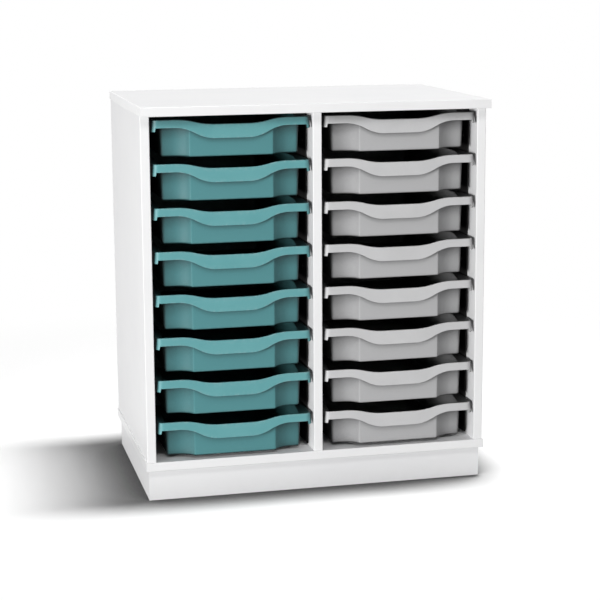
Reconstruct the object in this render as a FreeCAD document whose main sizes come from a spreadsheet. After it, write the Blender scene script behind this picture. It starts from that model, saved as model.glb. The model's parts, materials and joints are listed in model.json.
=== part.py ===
# Classroom tray storage unit: a cabinet of faced board with two bays of eight shallow moulded trays.
# Frame: x to the right, y to the back, z up, the origin on the floor under the middle of the unit.

import FreeCAD, Part
import math
import os
import re
import Sketcher

# Driving dimensions, in millimetres and degrees.
SIZES = {
    "board": (18, "thickness of every faced board"),
    "edging": (2, "thickness of the edging strips"),
    "edgeRound": (1.5, "radius of an edging strip's outer corners"),
    "topFrontOverhang": (25, "top panel in front of the uprights"),
    "topSideOverhang": (2, "top panel beyond each side"),
    "baseOverhang": (2.5, "base panel beyond the front and each side"),
    "plinthHeight": (62, "height of the plinth boards"),
    "plinthFrontRecess": (10, "plinth behind the front of the uprights"),
    "plinthSideRecess": (4, "plinth inside each side"),
    "plinthBackRecess": (10, "plinth in front of the back"),
    "blockLeg": (40, "leg of the triangular blocks in the plinth corners"),
    "blockGap": (3, "plinth block above the floor"),
    "backThickness": (8, "thickness of the back panel"),
    "rebateWidth": (9, "width of the side panels' rebates for the back"),
    "backGap": (0.5, "play round the edges of the back panel"),
    "dowelDiameter": (8, "wooden dowel across"),
    "dowelLength": (30, "wooden dowel long"),
    "dowelSink": (12, "dowel inside the top or base panel"),
    "dowelPlay": (0.2, "bore wider, and at each end deeper, than its dowel"),
    "dowelInset": (65, "dowel from the front or back of an upright"),
    "backScrewInset": (60, "first and last back screw from the ends of an upright"),
    "screwShank": (3.5, "screw across"),
    "screwPlay": (0.2, "hole wider than its screw"),
    "pilotPlay": (0.5, "pilot hole beyond the screw's end"),
    "backScrewLength": (25, "back panel screw long"),
    "backScrewHead": (7, "countersunk head across"),
    "sinkSlope": (45, "slope of a countersunk head"),
    "trayCount": (8, "trays in each bay"),
    "trayPitch": (85, "height from one tray to the next"),
    "bottomGap": (6, "lowest tray above the base panel"),
    "headroom": (8, "highest rim below the top panel"),
    "traySideGap": (4, "tray to the board on each side"),
    "trayBackGap": (7, "tray to the back panel"),
    "lipProud": (4, "lip in front of the uprights"),
    "trayWidth": (312, "tray across its skirts"),
    "trayLength": (427, "tray from lip to back skirt"),
    "trayHeight": (73, "tray from rim to underside"),
    "trayWall": (2, "moulded wall thickness"),
    "trayDraft": (4, "draft of the tray's sides and back"),
    "bottomBevel": (3, "bevel round the tray's underside"),
    "rimCorner": (12, "corner radius of the rim"),
    "rimSlope": (6, "slope of the lip and skirts"),
    "skirtHeight": (12, "skirt at the sides"),
    "backSkirtHeight": (6, "skirt across the back, which passes over the runners' guides"),
    "lipEndHeight": (16, "lip at its ends"),
    "lipMiddleHeight": (37.5, "lip's lower edge below the rim in the middle"),
    "topDip": (10, "dip of the rim in the middle of the lip"),
    "waveFlat": (33, "half width of the flat middle of the lip"),
    "waveRun": (78, "width of each curve in the lip's edges"),
    "tabWidth": (8, "corner tab across"),
    "tabDrop": (7, "corner tab below the lip's end"),
    "tabLength": (16, "corner tab and deep skirt from the front"),
    "tubHalf": (139.5, "half width of the tub under the rim"),
    "tubFront": (10, "tub's middle front behind the lip"),
    "tubBack": (410, "tub's back behind the lip"),
    "tubCorner": (20, "radius of the tub's back corners"),
    "tubFrontCorner": (8, "radius of the tub's front corners"),
    "scoopLand": (22.5, "flat front of the tub outside each scoop"),
    "scoopRadius": (44.5, "radius of the hollow scoops beside the middle front"),
    "scoopRecess": (17, "tub's corners behind its middle front"),
    "webThickness": (2.5, "runner panel web"),
    "runnerSetback": (50, "runner panel behind the front of the uprights"),
    "runnerBackGap": (4, "runner panel to the back panel"),
    "runnerEndGap": (2, "runner panel below the top and above the base"),
    "ledgeReach": (14, "ledge from the board"),
    "ledgeThickness": (2.5, "ledge thickness"),
    "ledgeCorner": (8, "corner radius of a ledge"),
    "rideGap": (0.3, "skirt above its ledge"),
    "guideThickness": (2, "upstand along a ledge"),
    "guideRise": (5, "upstand above its ledge"),
    "guideRamp": (12, "sloped end of an upstand"),
    "runnerScrewInset": (30, "screws from the ends of a runner panel"),
    "runnerScrewLength": (9, "runner screw long under its head"),
    "runnerScrewHead": (8, "runner screw head across"),
    "runnerHeadHeight": (2.2, "runner screw head high"),
    "headSink": (1, "runner screw head sunk into the web"),
    "headSlope": (20, "slope of the runner screw's head"),
}

# Sizes that follow from the driving ones.
LAYOUT = {
    "bayWidth": "trayWidth + 2 * traySideGap",
    "upright": "bayWidth + board",
    "halfWidth": "upright + board / 2",
    "bodyDepth": "trayLength - lipProud + trayBackGap + backThickness",
    "frontY": "(topFrontOverhang - bodyDepth) / 2",
    "backY": "frontY + bodyDepth",
    "baseTop": "plinthHeight + board",
    "rackHeight": "(trayCount - 1) * trayPitch",
    "aperture": "bottomGap + trayHeight + rackHeight + headroom",
    "underTop": "baseTop + aperture",
    "topHalf": "halfWidth + topSideOverhang",
    "baseHalf": "halfWidth + baseOverhang",
    "lowRim": "bottomGap + trayHeight",
    "ledgeTop": "lowRim - skirtHeight - rideGap",
    "runnerLength": "bodyDepth - backThickness - runnerSetback - runnerBackGap",
    "runnerMiddle": "runnerSetback + runnerLength / 2",
    "screwRow": "ledgeTop + trayPitch / 2",
    "screwRowStep": "floor((trayCount - 2) / 2) * trayPitch",
    "screwColumn": "runnerLength / 2 - runnerScrewInset",
    "dowelBore": "dowelDiameter + dowelPlay",
    "uprightBore": "dowelLength - dowelSink + dowelPlay",
    "screwHole": "screwShank + screwPlay",
    "runnerBite": "runnerScrewLength - (webThickness - headSink)",
    "backBite": "backScrewLength - backThickness",
    "sinkDepth": "(backScrewHead - screwShank) / 2 / tan(sinkSlope * 1deg)",
    "backScrewStep": "(aperture - 2 * backScrewInset) / 2",
    "rimHalf": "trayWidth / 2 - skirtHeight * tan(rimSlope * 1deg)",
    "rimFront": "lipMiddleHeight * tan(rimSlope * 1deg)",
    "rimBack": "trayLength - skirtHeight * tan(rimSlope * 1deg)",
    "scoopEnd": "tubHalf - scoopLand",
    "flangeDepth": "tubFront + scoopRecess + trayWall",
}

doc = FreeCAD.newDocument("TrayStorageUnit")
parts = []


def named(formula):
    # Puts each size's sheet before its name.
    def full(word):
        text = word.group(0)
        if text in SIZES:
            return "Sizes." + text
        return "Layout." + text if text in LAYOUT else text

    return re.sub(r"\b[A-Za-z]\w*", full, str(formula))


def bind(thing, prop, formula):
    thing.setExpression(prop, named(formula))


def fillSheets():
    driving = doc.addObject("Spreadsheet::Sheet", "Sizes")
    for row, (alias, (value, note)) in enumerate(SIZES.items(), 1):
        driving.set(f"A{row}", str(value))
        driving.setAlias(f"A{row}", alias)
        driving.set(f"B{row}", note)
    doc.recompute()
    derived = doc.addObject("Spreadsheet::Sheet", "Layout")
    for row, (alias, formula) in enumerate(LAYOUT.items(), 1):
        derived.set(f"A{row}", "=" + named(formula).replace("Layout.", ""))
        derived.setAlias(f"A{row}", alias)
        doc.recompute()
    return driving


sizes = fillSheets()


# Building blocks: bodies, sketches and features whose sizes are bound to the sheets.


def place(thing, x="0", y="0", z="0", turned=False):
    if turned:
        thing.Placement = FreeCAD.Placement(FreeCAD.Vector(), FreeCAD.Rotation(FreeCAD.Vector(0, 0, 1), 180))
    for axis, formula in zip("xyz", (x, y, z)):
        bind(thing, f"Placement.Base.{axis}", formula)
    parts.append(thing)
    return thing


def newBody(label, x="0", y="0", z="0", turned=False, many=False):
    body = doc.addObject("PartDesign::Body", label)
    body.Label = label
    body.AllowCompound = many
    return place(body, x, y, z, turned)


def copyOf(original, label, x="0", y="0", z="0", turned=False):
    # A further piece of the same moulding or the same set of fasteners.
    link = doc.addObject("App::Link", label)
    link.LinkedObject = original
    link.Label = label
    return place(link, x, y, z, turned)


def emptySketch(body, name, role, lift):
    plane = next(item for item in body.Origin.OriginFeatures if item.Role == role)
    sketch = body.newObject("Sketcher::SketchObject", name)
    sketch.AttachmentSupport = [(plane, "")]
    sketch.MapMode = "FlatFace"
    bind(sketch, "AttachmentOffset.Base.z", lift)
    return sketch


def pin(sketch, kind, geometry, value, formula):
    # One dimension of a sketch, held to its formula.
    target = (geometry, value) if isinstance(geometry, int) else (-1, 1, *geometry, value)
    index = sketch.addConstraint(Sketcher.Constraint(kind, *target))
    bind(sketch, f"Constraints[{index}]", formula)


def outline(body, name, role, corners, lift="0"):
    # A closed outline. A corner is (x, y), or (x, y, radius, turn) where the side that starts there is
    # an arc: turn 1 has its centre to the left of the way round, and turn -1 to the right.
    sketch = emptySketch(body, name, role, lift)
    points = []
    for corner in corners:
        x, y = (float(sketch.evalExpression(named(formula))) for formula in corner[:2])
        points.append(FreeCAD.Vector(x, y, 0))
    starts = []
    for index, corner in enumerate(corners):
        start = points[index]
        end = points[(index + 1) % len(points)]
        starts.append(1)
        if len(corner) == 2:
            sketch.addGeometry(Part.LineSegment(start, end), False)
            continue
        radius = float(sketch.evalExpression(named(corner[2])))
        half = (end - start) * 0.5
        left = FreeCAD.Vector(-half.y, half.x, 0).normalize()
        centre = start + half + left * corner[3] * math.sqrt(max(radius ** 2 - half.Length ** 2, 0))
        angles = [math.atan2(point.y - centre.y, point.x - centre.x) for point in (start, end)]
        if corner[3] < 0:
            angles.reverse()
            starts[-1] = 2
        circle = Part.Circle(centre, FreeCAD.Vector(0, 0, 1), radius)
        sketch.addGeometry(Part.ArcOfCircle(circle, *angles), False)
    for index, corner in enumerate(corners):
        following = (index + 1) % len(corners)
        sketch.addConstraint(
            Sketcher.Constraint("Coincident", index, 3 - starts[index], following, starts[following])
        )
        for kind, value, formula in zip(("DistanceX", "DistanceY"), points[index], corner):
            pin(sketch, kind, (index, starts[index]), value, formula)
        if len(corner) > 2:
            radius = float(sketch.evalExpression(named(corner[2])))
            pin(sketch, "Radius", index, radius, corner[2])
    return sketch


def circles(body, name, role, centres, diameter, lift="0"):
    sketch = emptySketch(body, name, role, lift)
    width = float(sketch.evalExpression(named(diameter)))
    for index, centre in enumerate(centres):
        x, y = (float(sketch.evalExpression(named(formula))) for formula in centre)
        sketch.addGeometry(Part.Circle(FreeCAD.Vector(x, y, 0), FreeCAD.Vector(0, 0, 1), width / 2), False)
        pin(sketch, "DistanceX", (index, 3), x, centre[0])
        pin(sketch, "DistanceY", (index, 3), y, centre[1])
        pin(sketch, "Diameter", index, width, diameter)
    return sketch


def extrude(kind, body, name, sketch, length, reverse=False, middle=False, taper=None):
    # A Pad goes along the sketch's normal and a Pocket against it, unless reversed.
    feature = body.newObject("PartDesign::" + kind, name)
    feature.Profile = sketch
    feature.Reversed = reverse
    feature.Midplane = middle
    bind(feature, "Length", length)
    if taper:
        bind(feature, "TaperAngle", taper + " * 1deg")
    return feature


def loft(kind, body, name, sections):
    feature = body.newObject("PartDesign::" + kind, name)
    feature.Profile = sections[0]
    feature.Sections = sections[1:]
    feature.Ruled = True


def repeatUp(body, name, features, height, count):
    pattern = body.newObject("PartDesign::LinearPattern", name)
    pattern.Originals = features
    axis = next(item for item in body.Origin.OriginFeatures if item.Role == "Z_Axis")
    pattern.Direction = (axis, [""])
    bind(pattern, "Length", height)
    bind(pattern, "Occurrences", count)
    body.Tip = pattern


def box(x0, y0, x1, y1):
    return [(x0, y0), (x1, y0), (x1, y1), (x0, y1)]


# The cabinet's boards.

UPRIGHTS = ("-upright", "0", "upright")


def dowelPlaces(fromFront="0"):
    # Two dowels over each upright, as (x, y) from the front of the uprights.
    rows = (f"{fromFront} + dowelInset", f"{fromFront} + bodyDepth - dowelInset")
    return [(x, y) for x in UPRIGHTS for y in rows]


def makeTopPanel():
    body = newBody("top_panel", "0", "frontY - topFrontOverhang", "underTop")
    plan = box("-topHalf + edging", "edging", "topHalf - edging", "topFrontOverhang + bodyDepth")
    extrude("Pad", body, "Board", outline(body, "Plan", "XY_Plane", plan), "board")
    bores = circles(body, "Dowels", "XY_Plane", dowelPlaces("topFrontOverhang"), "dowelBore")
    extrude("Pocket", body, "DowelBores", bores, "dowelSink + dowelPlay", reverse=True)


def makeBasePanel():
    body = newBody("base_panel", "0", "frontY - baseOverhang", "plinthHeight")
    plan = box("-baseHalf + edging", "edging", "baseHalf - edging", "baseOverhang + bodyDepth")
    extrude("Pad", body, "Board", outline(body, "Plan", "XY_Plane", plan), "board")
    bores = circles(body, "Dowels", "XY_Plane", dowelPlaces("baseOverhang"), "dowelBore", "board")
    extrude("Pocket", body, "DowelBores", bores, "dowelSink + dowelPlay")


def boreUpright(body):
    # Dowel bores in both ends of an upright whose middle plane is x = 0.
    ends = [("0", "dowelInset"), ("0", "bodyDepth - dowelInset")]
    low = circles(body, "LowDowels", "XY_Plane", ends, "dowelBore")
    extrude("Pocket", body, "LowDowelBores", low, "uprightBore", reverse=True)
    high = circles(body, "HighDowels", "XY_Plane", ends, "dowelBore", "aperture")
    extrude("Pocket", body, "HighDowelBores", high, "uprightBore")


def runnerScrewPlaces(middle):
    # Two columns of three screws, clear of the ledges, as (y, z) round a runner panel's middle.
    columns = (f"{middle} - screwColumn", f"{middle} + screwColumn")
    return [(y, f"screwRow + {row} * screwRowStep") for y in columns for row in range(3)]


def drillRunnerHoles(body, name, side):
    # Pilot holes in the face at side * board / 2.
    places = runnerScrewPlaces("runnerMiddle")
    sketch = circles(body, name, "YZ_Plane", places, "screwHole", f"{side} * board / 2")
    extrude("Pocket", body, name + "Holes", sketch, "runnerBite + pilotPlay", reverse=side < 0)


def drillBackHoles(body, x, depth):
    rows = [(x, f"backScrewInset + {row} * backScrewStep") for row in range(3)]
    sketch = circles(body, "BackScrews", "XZ_Plane", rows, "screwHole", f"-({depth})")
    extrude("Pocket", body, "BackScrewHoles", sketch, "backBite + pilotPlay", reverse=True)


def makeSidePanel(label, inward):
    # The back sits in a rebate along the inner back edge.
    body = newBody(label, f"-{inward} * upright", "frontY", "baseTop")
    outer = f"-{inward} * board / 2"
    inner = f"{inward} * board / 2"
    seat = f"{inward} * (board / 2 - rebateWidth)"
    plan = [
        (outer, "edging"),
        (inner, "edging"),
        (inner, "bodyDepth - backThickness"),
        (seat, "bodyDepth - backThickness"),
        (seat, "bodyDepth"),
        (outer, "bodyDepth"),
    ]
    extrude("Pad", body, "Board", outline(body, "Plan", "XY_Plane", plan), "aperture")
    boreUpright(body)
    drillRunnerHoles(body, "RunnerScrews", inward)
    drillBackHoles(body, f"{inward} * (board / 2 - rebateWidth / 2)", "bodyDepth - backThickness")


def makeDivider():
    body = newBody("centre_divider", "0", "frontY", "baseTop")
    plan = box("-board / 2", "edging", "board / 2", "bodyDepth - backThickness")
    extrude("Pad", body, "Board", outline(body, "Plan", "XY_Plane", plan), "aperture")
    boreUpright(body)
    drillRunnerHoles(body, "LeftRunnerScrews", -1)
    drillRunnerHoles(body, "RightRunnerScrews", 1)
    drillBackHoles(body, "0", "bodyDepth - backThickness")


def backScrewPlaces():
    across = "upright - rebateWidth / 2"
    rows = [f"backScrewInset + {row} * backScrewStep" for row in range(3)]
    return [(x, z) for x in (f"-({across})", "0", across) for z in rows]


def makeBackPanel():
    body = newBody("back_panel", "0", "backY - backThickness", "baseTop")
    half = "upright - board / 2 + rebateWidth - backGap"
    face = box(f"-({half})", "0", half, "aperture - backGap")
    extrude("Pad", body, "Board", outline(body, "Face", "XZ_Plane", face), "backThickness", reverse=True)
    holes = circles(body, "Screws", "XZ_Plane", backScrewPlaces(), "screwHole")
    extrude("Pocket", body, "ScrewHoles", holes, "backThickness")
    sinks = circles(body, "Sinks", "XZ_Plane", backScrewPlaces(), "backScrewHead + screwPlay", "-backThickness")
    extrude("Pocket", body, "Countersinks", sinks, "sinkDepth", reverse=True, taper="-sinkSlope")


def makePlinth():
    half = "(halfWidth - plinthSideRecess)"
    front = "frontY + plinthFrontRecess"
    back = "backY - plinthBackRecess - board"
    for label, y in (("plinth_front", front), ("plinth_back", back)):
        body = newBody(label, "0", y, "0")
        plan = box(f"-{half}", "0", half, "board")
        extrude("Pad", body, "Board", outline(body, "Plan", "XY_Plane", plan), "plinthHeight")
    for label, side in (("plinth_left", -1), ("plinth_right", 1)):
        body = newBody(label, f"{side} * ({half} - board / 2)", front, "0")
        length = "bodyDepth - plinthFrontRecess - plinthBackRecess - board"
        plan = box("-board / 2", "board", "board / 2", length)
        extrude("Pad", body, "Board", outline(body, "Plan", "XY_Plane", plan), "plinthHeight")


def makePlinthBlocks():
    # Glued triangular blocks in the four corners of the plinth.
    x = "(halfWidth - plinthSideRecess - board)"
    depth = "bodyDepth - plinthFrontRecess - plinthBackRecess - 2 * board"
    body = newBody("plinth_corner_blocks", "0", "frontY + plinthFrontRecess + board", "0", many=True)
    for side in (-1, 1):
        for end, y, turn in (("Front", "0", 1), ("Back", depth, -1)):
            name = ("Left" if side < 0 else "Right") + end
            corner = [
                (f"{side} * {x}", y),
                (f"{side} * ({x} - blockLeg)", y),
                (f"{side} * {x}", f"{y} + {turn} * blockLeg"),
            ]
            sketch = outline(body, name, "XY_Plane", corner, "blockGap")
            extrude("Pad", body, name + "Block", sketch, "plinthHeight - blockGap")


# Edging strips: each a flat strip as wide as the board, with its outer corners rounded.


def edgeSection(outward, low, high, upright=False):
    # Outer face at 0, board face at the edging's thickness, from low to high along the board's thickness.
    # outward is 1 where the board lies on the positive side.
    curve = (f"{low} + edgeRound", f"{high} - edgeRound")
    section = [
        (f"{outward} * edging", low),
        (f"{outward} * edging", high),
        (f"{outward} * edgeRound", high, "edgeRound", outward),
        ("0", curve[1]),
        ("0", curve[0], "edgeRound", outward),
        (f"{outward} * edgeRound", low),
    ]
    if not upright:
        return section
    return [(corner[1], corner[0], *(corner[2:3] and (corner[2], -corner[3]))) for corner in section]


def makeUprightEdging(label, x):
    body = newBody(label, x, "frontY", "baseTop")
    section = edgeSection(1, "-board / 2", "board / 2", upright=True)
    extrude("Pad", body, "Strip", outline(body, "Section", "XY_Plane", section), "aperture")


def makePanelEdging(panel, half, overhang, z):
    # A front strip from end to end, and side strips behind it.
    front = f"frontY - {overhang}"
    body = newBody(f"{panel}_front_edging", "0", front, z)
    section = outline(body, "Section", "YZ_Plane", edgeSection(1, "0", "board"))
    extrude("Pad", body, "Strip", section, f"2 * {half}", middle=True)
    for label, side in (("left", -1), ("right", 1)):
        body = newBody(f"{panel}_{label}_edging", f"{side} * {half}", f"{front} + edging", z)
        section = outline(body, "Section", "XZ_Plane", edgeSection(-side, "0", "board"))
        extrude("Pad", body, "Strip", section, f"{overhang} + bodyDepth - edging", reverse=True)


# Fasteners. Identical ones are separate solids of one piece list entry.


def makeDowels():
    body = newBody("panel_dowels", "0", "frontY", "baseTop - dowelSink", many=True)
    section = circles(body, "Places", "XY_Plane", dowelPlaces(), "dowelDiameter")
    dowels = extrude("Pad", body, "Dowels", section, "dowelLength")
    rise = "aperture + 2 * dowelSink - dowelLength"
    repeatUp(body, "TopAndBottom", [dowels], rise, "2")


def makeBackScrews():
    # Countersunk heads flush with the back panel.
    body = newBody("back_panel_screws", "0", "backY", "baseTop", many=True)
    heads = circles(body, "Heads", "XZ_Plane", backScrewPlaces(), "backScrewHead")
    extrude("Pad", body, "HeadCones", heads, "sinkDepth", taper="-sinkSlope")
    shanks = circles(body, "Shanks", "XZ_Plane", backScrewPlaces(), "screwShank")
    extrude("Pad", body, "ShankRods", shanks, "backScrewLength")


def makeRunnerScrews(label, x, turned):
    # Low round heads sunk a little into the runner panel's web, in the frame of that panel.
    body = newBody(label, x, "frontY + runnerMiddle", "baseTop", turned, many=True)
    places = runnerScrewPlaces("0")
    seat = "webThickness - headSink"
    heads = circles(body, "Heads", "YZ_Plane", places, "runnerScrewHead", seat)
    extrude("Pad", body, "HeadDomes", heads, "runnerHeadHeight", taper="-headSlope")
    shanks = circles(body, "Shanks", "YZ_Plane", places, "screwShank", seat)
    extrude("Pad", body, "ShankRods", shanks, "runnerScrewLength", reverse=True)
    return body


# Runner panels: a moulded web with a ledge for each tray, the same moulding turned round for the other hand.


def makeRunnerPanel(label, x, turned):
    # The board's face is x = 0, the bay is on the positive side, and y is from the panel's middle.
    body = newBody(label, x, "frontY + runnerMiddle", "baseTop", turned)
    end = "runnerLength / 2"
    web = box(f"-{end}", "runnerEndGap", end, "aperture - runnerEndGap")
    extrude("Pad", body, "Web", outline(body, "WebFace", "YZ_Plane", web), "webThickness")

    reach = "ledgeReach"
    plan = [
        ("webThickness / 2", f"-{end}"),
        (f"{reach} - ledgeCorner", f"-{end}", "ledgeCorner", 1),
        (reach, f"-{end} + ledgeCorner"),
        (reach, f"{end} - ledgeCorner", "ledgeCorner", 1),
        (f"{reach} - ledgeCorner", end),
        ("webThickness / 2", end),
    ]
    shelf = outline(body, "LedgePlan", "XY_Plane", plan, "ledgeTop")
    ledge = extrude("Pad", body, "Ledge", shelf, "ledgeThickness", reverse=True)

    foot = f"({end} - ledgeCorner)"
    side = [
        (f"-{foot}", "ledgeTop - ledgeThickness / 2"),
        (foot, "ledgeTop - ledgeThickness / 2"),
        (foot, "ledgeTop"),
        (f"{foot} - guideRamp", "ledgeTop + guideRise"),
        (f"-{foot} + guideRamp", "ledgeTop + guideRise"),
        (f"-{foot}", "ledgeTop"),
    ]
    upstand = outline(body, "GuideSide", "YZ_Plane", side, f"{reach} - guideThickness")
    guide = extrude("Pad", body, "Guide", upstand, "guideThickness")
    repeatUp(body, "Ledges", [ledge, guide], "rackHeight", "trayCount")

    places = runnerScrewPlaces("0")
    holes = circles(body, "Screws", "YZ_Plane", places, "screwHole", "webThickness")
    extrude("Pocket", body, "ScrewHoles", holes, "webThickness")
    sinks = circles(body, "Sinks", "YZ_Plane", places, "runnerScrewHead + screwPlay", "webThickness")
    body.Tip = extrude("Pocket", body, "HeadSinks", sinks, "headSink")
    return body


# Trays: one moulding with a wavy lip in front, skirts round the rim and a tub with scooped front corners.


def roundedPlan(half, front, back, radius):
    return [
        (f"-{half} + {radius}", front),
        (f"{half} - {radius}", front, radius, 1),
        (half, f"{front} + {radius}"),
        (half, f"{back} - {radius}", radius, 1),
        (f"{half} - {radius}", back),
        (f"-{half} + {radius}", back, radius, 1),
        (f"-{half}", f"{back} - {radius}"),
        (f"-{half}", f"{front} + {radius}", radius, 1),
    ]


def valley(height, drop):
    # An edge that falls by drop to a flat middle and rises again. Each slope is two equal arcs of
    # radius (waveRun^2 + drop^2) / (4 * drop), so it starts and ends level.
    radius = f"(waveRun ^ 2 + ({drop}) ^ 2) / (4 * ({drop}))"
    outer = "waveFlat + waveRun"
    middle = "waveFlat + waveRun / 2"
    half = f"{height} - ({drop}) / 2"
    floor = f"{height} - ({drop})"
    return [
        (f"-({outer})", height, radius, -1),
        (f"-({middle})", half, radius, 1),
        ("-waveFlat", floor),
        ("waveFlat", floor, radius, 1),
        (middle, half, radius, -1),
        (outer, height),
    ]


def backwards(corners):
    # The same open edge from its other end, with each arc on the far side of its corner.
    ends = corners[::-1]
    arcs = [corner[2:] for corner in ends[1:]] + [()]
    return [(*corner[:2], *(arc and (arc[0], -arc[1]))) for corner, arc in zip(ends, arcs)]


def tubPlan(inset, wall):
    # The middle front stands forward of two hollow scoops. The sides and back move in by the inset,
    # and every face moves in by the wall.
    radius = f"(scoopRadius + {wall})"
    reach = f"sqrt(2 * {radius} * scoopRecess - scoopRecess ^ 2)"
    crease = f"(scoopEnd - {reach})"
    half = f"(tubHalf - {inset} - {wall})"
    front = f"(tubFront + {wall})"
    shoulder = f"({front} + scoopRecess)"
    back = f"(tubBack - {inset} - {wall})"
    corner = f"(tubFrontCorner - {wall})"
    return [
        (f"-{crease}", front),
        (crease, front, radius, -1),
        ("scoopEnd", shoulder),
        (f"{half} - {corner}", shoulder, corner, 1),
        (half, f"{shoulder} + {corner}"),
        (half, f"{back} - tubCorner", "tubCorner", 1),
        (f"{half} - tubCorner", back),
        (f"-{half} + tubCorner", back, "tubCorner", 1),
        (f"-{half}", f"{back} - tubCorner"),
        (f"-{half}", f"{shoulder} + {corner}", corner, 1),
        (f"-{half} + {corner}", shoulder),
        ("-scoopEnd", shoulder, radius, -1),
    ]


def makeRim(body):
    # A sloping band round the tray, then the flat flange that joins it to the tub.
    outer = outline(body, "RimPlan", "XY_Plane", roundedPlan("rimHalf", "rimFront", "rimBack", "rimCorner"))
    extrude("Pad", body, "RimBlock", outer, "lipMiddleHeight", reverse=True, taper="rimSlope")
    inset = roundedPlan(
        "(rimHalf - trayWall)", "(rimFront + trayWall)", "(rimBack - trayWall)", "(rimCorner - trayWall)"
    )
    inner = outline(body, "RimHollowPlan", "XY_Plane", inset)
    extrude("Pocket", body, "RimHollow", inner, "lipMiddleHeight + trayWall", taper="rimSlope")
    plate = outline(body, "FlangePlan", "XY_Plane", roundedPlan("rimHalf", "rimFront", "rimBack", "rimCorner"))
    extrude("Pad", body, "Flange", plate, "trayWall", reverse=True)


def trimSkirts(body):
    # Short skirts behind the corner tabs, a shorter one across the back, and the lip's wavy lower
    # edge between the tabs.
    below = "-2 * lipMiddleHeight"
    behind = [
        ("tabLength", below),
        ("2 * trayLength", below),
        ("2 * trayLength", "-backSkirtHeight"),
        ("rimBack - rimCorner", "-backSkirtHeight"),
        ("rimBack - rimCorner", "-skirtHeight"),
        ("tabLength", "-skirtHeight"),
    ]
    side = outline(body, "SkirtSide", "YZ_Plane", behind)
    extrude("Pocket", body, "SkirtTrim", side, "2 * trayWidth", middle=True)
    tab = "(trayWidth / 2 - tabWidth)"
    tabEnd = "-lipEndHeight - tabDrop"
    edge = valley("-lipEndHeight", "lipMiddleHeight - lipEndHeight")
    edge += [
        (tab, "-lipEndHeight"),
        (tab, tabEnd),
        ("trayWidth", tabEnd),
        ("trayWidth", below),
        ("-trayWidth", below),
        ("-trayWidth", tabEnd),
        (f"-{tab}", tabEnd),
        (f"-{tab}", "-lipEndHeight"),
    ]
    lower = outline(body, "LipLowerEdge", "XZ_Plane", edge)
    extrude("Pocket", body, "LipTrim", lower, "tabLength")


def dipFlange(body):
    # The rim dips in the middle of the lip, and the flange follows it.
    above = valley("0", "topDip")
    above += [("waveFlat + waveRun", "trayWall"), ("-(waveFlat + waveRun)", "trayWall")]
    wave = outline(body, "DipAbove", "XZ_Plane", above)
    extrude("Pocket", body, "Dip", wave, "flangeDepth + trayWall")
    band = valley("0", "topDip") + backwards(valley("-trayWall", "topDip"))
    start = "(rimFront + trayWall / 4)"
    section = outline(body, "DippedBand", "XZ_Plane", band, f"-{start}")
    extrude("Pad", body, "DippedFlange", section, f"flangeDepth - {start}", reverse=True)


def makeTray(label, x, z):
    # The origin is on the rim, above the foot of the lip.
    body = newBody(label, x, "frontY - lipProud", z)
    makeRim(body)
    trimSkirts(body)
    draft = "tan(trayDraft * 1deg)"
    bevelTop = "(trayHeight - bottomBevel)"
    outside = [
        outline(body, "TubTop", "XY_Plane", tubPlan("0", "0")),
        outline(body, "TubBevel", "XY_Plane", tubPlan(f"{bevelTop} * {draft}", "0"), f"-{bevelTop}"),
        outline(body, "TubFoot", "XY_Plane", tubPlan(f"{bevelTop} * {draft}", "bottomBevel"), "-trayHeight"),
    ]
    loft("AdditiveLoft", body, "Tub", outside)
    dipFlange(body)
    floor = "(trayHeight - trayWall)"
    inside = [
        outline(body, "CavityTop", "XY_Plane", tubPlan(f"-trayWall * {draft}", "trayWall"), "trayWall"),
        outline(body, "CavityFloor", "XY_Plane", tubPlan(f"{floor} * {draft}", "trayWall"), f"-{floor}"),
    ]
    loft("SubtractiveLoft", body, "Cavity", inside)
    return body


# Assembly.


def makeCabinet():
    makeTopPanel()
    makeBasePanel()
    makeSidePanel("left_side_panel", 1)
    makeSidePanel("right_side_panel", -1)
    makeDivider()
    makeBackPanel()
    makePlinth()
    makePlinthBlocks()
    for label, x in zip(("left_side_edging", "divider_edging", "right_side_edging"), UPRIGHTS):
        makeUprightEdging(label, x)
    makePanelEdging("top", "topHalf", "topFrontOverhang", "underTop")
    makePanelEdging("base", "baseHalf", "baseOverhang", "plinthHeight")
    makeDowels()
    makeBackScrews()


def makeRunners():
    # Left-hand panels look to the right, and right-hand ones are turned to look to the left.
    hands = (
        ("left_bay_left", "-upright + board / 2", False),
        ("left_bay_right", "-board / 2", True),
        ("right_bay_left", "board / 2", False),
        ("right_bay_right", "upright - board / 2", True),
    )
    panel = screws = None
    for hand, x, turned in hands:
        if panel is None:
            panel = makeRunnerPanel(hand + "_runner", x, turned)
            screws = makeRunnerScrews(hand + "_runner_screws", x, turned)
            continue
        where = (x, "frontY + runnerMiddle", "baseTop", turned)
        copyOf(panel, hand + "_runner", *where)
        copyOf(screws, hand + "_runner_screws", *where)


def makeTrays():
    # Tray 1 is the highest of each bay.
    first = None
    for bay, side in (("left", -1), ("right", 1)):
        for number in range(1, int(sizes.trayCount) + 1):
            x = f"{side} * upright / 2"
            z = f"baseTop + lowRim + (trayCount - {number}) * trayPitch"
            label = f"{bay}_tray_{number}"
            if first is None:
                first = makeTray(label, x, z)
            else:
                copyOf(first, label, x, "frontY - lipProud", z)


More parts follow.
